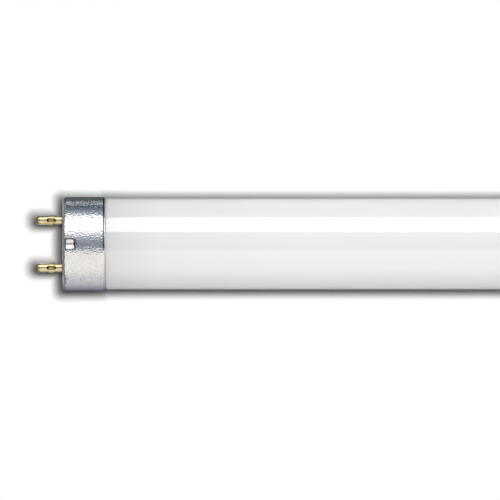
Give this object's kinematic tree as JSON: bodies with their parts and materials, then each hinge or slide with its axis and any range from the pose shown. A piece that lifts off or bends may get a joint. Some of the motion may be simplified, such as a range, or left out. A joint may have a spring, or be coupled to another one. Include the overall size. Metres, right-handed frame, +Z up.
{
  "type": "fluorescent tube",
  "caption": "Straight tubular fluorescent lamp: a white coated glass tube with an aluminium cap and a pair of brass contact pins at each end.",
  "frame": {"origin": "the middle of the lamp, on the tube's axis", "axes": "+X along the tube's axis, +Y across a cap through both of its pins, +Z up with a stake mark on top"},
  "size_m": [0.604, 0.0252, 0.0252],
  "materials": {
    "coated_glass": "glossy clear glass over an opaque white inner coating",
    "cap_aluminium": "bright drawn aluminium with a fine grain",
    "phenolic": "brown moulded phenolic",
    "cement": "matt baked basing cement",
    "pin_brass": "bright drawn brass",
    "lead_wire": "bare nickel-iron wire"
  },
  "bodies": {
    "root": {"glass_tube": "coated_glass", "cap_shell_left": "cap_aluminium", "cap_shell_right": "cap_aluminium", "insulator_disc_left": "phenolic", "insulator_disc_right": "phenolic", "basing_cement_left": "cement", "basing_cement_right": "cement", "contact_pin_left_rear": "pin_brass", "contact_pin_left_front": "pin_brass", "contact_pin_right_rear": "pin_brass", "contact_pin_right_front": "pin_brass", "lead_wire_left_rear": "lead_wire", "lead_wire_left_front": "lead_wire", "lead_wire_right_rear": "lead_wire", "lead_wire_right_front": "lead_wire"}
  },
  "joints": []
}
